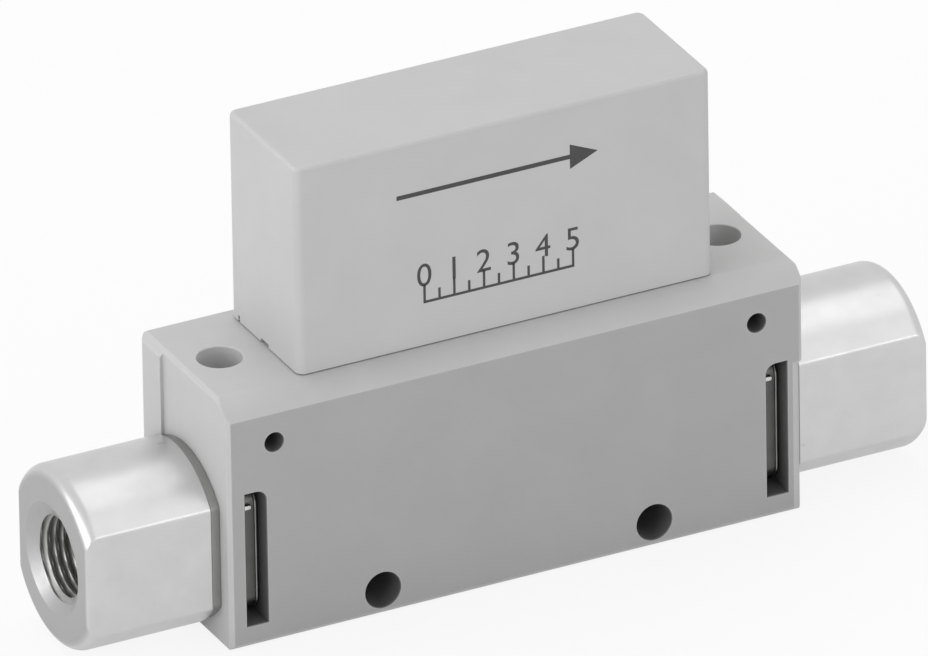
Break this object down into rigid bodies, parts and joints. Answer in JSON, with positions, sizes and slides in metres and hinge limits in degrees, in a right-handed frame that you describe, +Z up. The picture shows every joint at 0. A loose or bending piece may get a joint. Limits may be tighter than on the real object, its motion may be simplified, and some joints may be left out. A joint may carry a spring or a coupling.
{
  "type": "airflow sensor",
  "caption": "Inline airflow sensor: a resin flow body with metal port fittings held by clips, and an electronics case on top.",
  "frame": {"origin": "under the middle of the flow body, on its base", "axes": "+X along the flow, from the inlet to the outlet; the front with the clip slots faces -Y; +Z up through the electronics case"},
  "size_m": [0.0968, 0.0196, 0.0517],
  "materials": {
    "body_resin": "moulded, fine matt texture, mid grey",
    "case_resin": "moulded, fine matt texture, light grey",
    "fitting_metal": "turned bright, fine lathe marks, milled flats",
    "clip_steel": "bent strip, satin",
    "seal_rubber": "moulded black rubber",
    "screen_steel": "woven wire, satin",
    "spacer_resin": "moulded, natural white",
    "carrier_ceramic": "fired, matt white",
    "chip_silicon": "polished dark grey",
    "board_laminate": "solder resist, satin green",
    "header_resin": "moulded, natural white",
    "pin_brass": "drawn, bright",
    "chip_package": "moulded, matt black",
    "can_metal": "drawn, satin"
  },
  "bodies": {
    "root": {"flow_body": "body_resin", "inlet_fitting": "fitting_metal", "outlet_fitting": "fitting_metal", "inlet_clip": "clip_steel", "outlet_clip": "clip_steel", "inlet_o_ring": "seal_rubber", "outlet_o_ring": "seal_rubber", "inlet_screen_outer": "screen_steel", "inlet_screen_inner": "screen_steel", "outlet_screen": "screen_steel", "inlet_spacer_outer": "spacer_resin", "inlet_spacer_inner": "spacer_resin", "outlet_spacer": "spacer_resin", "sensor_gasket": "seal_rubber", "sensor_carrier": "carrier_ceramic", "sensor_chip": "chip_silicon", "sensor_clamp": "spacer_resin", "clamp_screw_left": "clip_steel", "clamp_screw_right": "clip_steel", "sensor_pin_1": "pin_brass", "sensor_pin_2": "pin_brass", "sensor_pin_3": "pin_brass", "sensor_pin_4": "pin_brass", "electronics_case": "case_resin", "main_board": "board_laminate", "connector_header": "header_resin", "connector_pin_1": "pin_brass", "connector_pin_2": "pin_brass", "connector_pin_3": "pin_brass", "connector_pin_4": "pin_brass", "connector_pin_5": "pin_brass", "microcontroller": "chip_package", "amplifier_chip": "chip_package", "regulator_chip": "chip_package", "crystal": "can_metal", "buffer_capacitor": "can_metal"}
  },
  "joints": []
}
